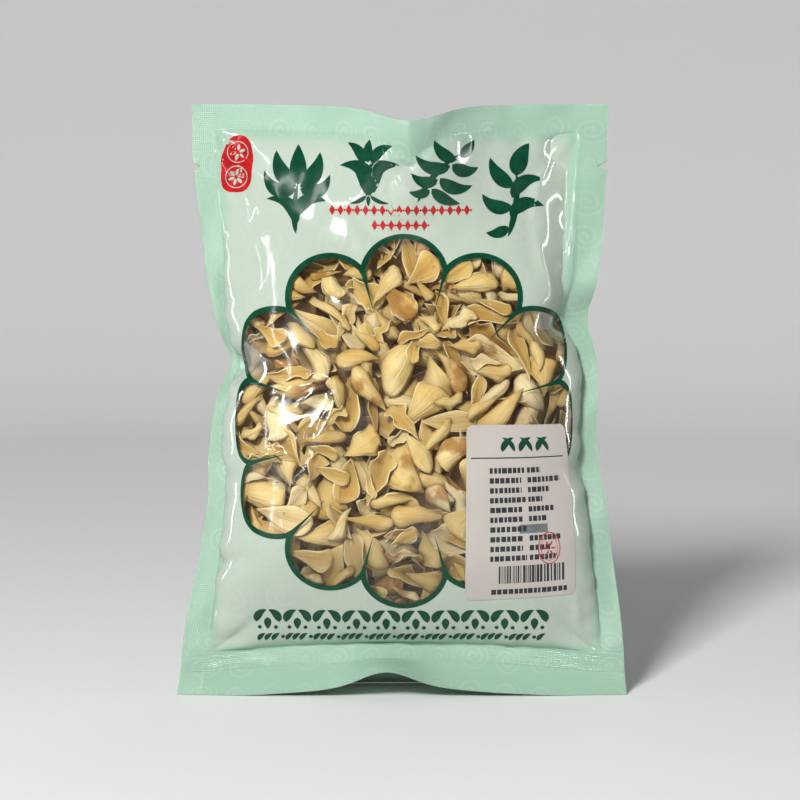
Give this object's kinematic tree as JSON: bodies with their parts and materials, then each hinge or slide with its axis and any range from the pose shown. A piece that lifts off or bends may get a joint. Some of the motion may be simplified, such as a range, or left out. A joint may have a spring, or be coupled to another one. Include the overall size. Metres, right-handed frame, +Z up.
{
  "type": "sealed film packet of dried lily bulb scales",
  "caption": "Flat pillow packet of dried lily bulb scales in printed film with a petal-edged clear opening and a paper label.",
  "frame": {"origin": "middle of the packet's box, on the surface that it stands on", "axes": "+Z up the packet, +X to the right as seen from the printed front, which faces -Y"},
  "size_m": [0.2262, 0.0614, 0.2955],
  "materials": {
    "printed_film": "glossy mint green printed film",
    "clear_film": "clear glossy film",
    "back_print": "glossy mint green printed film",
    "label_paper": "smooth coated paper",
    "dried_scale": "dry, waxy, cream to tan"
  },
  "bodies": {
    "root": {"front_film": "printed_film", "window_film": "clear_film", "back_film": "back_print", "label": "label_paper", "bulb_scales": "dried_scale"}
  },
  "joints": []
}
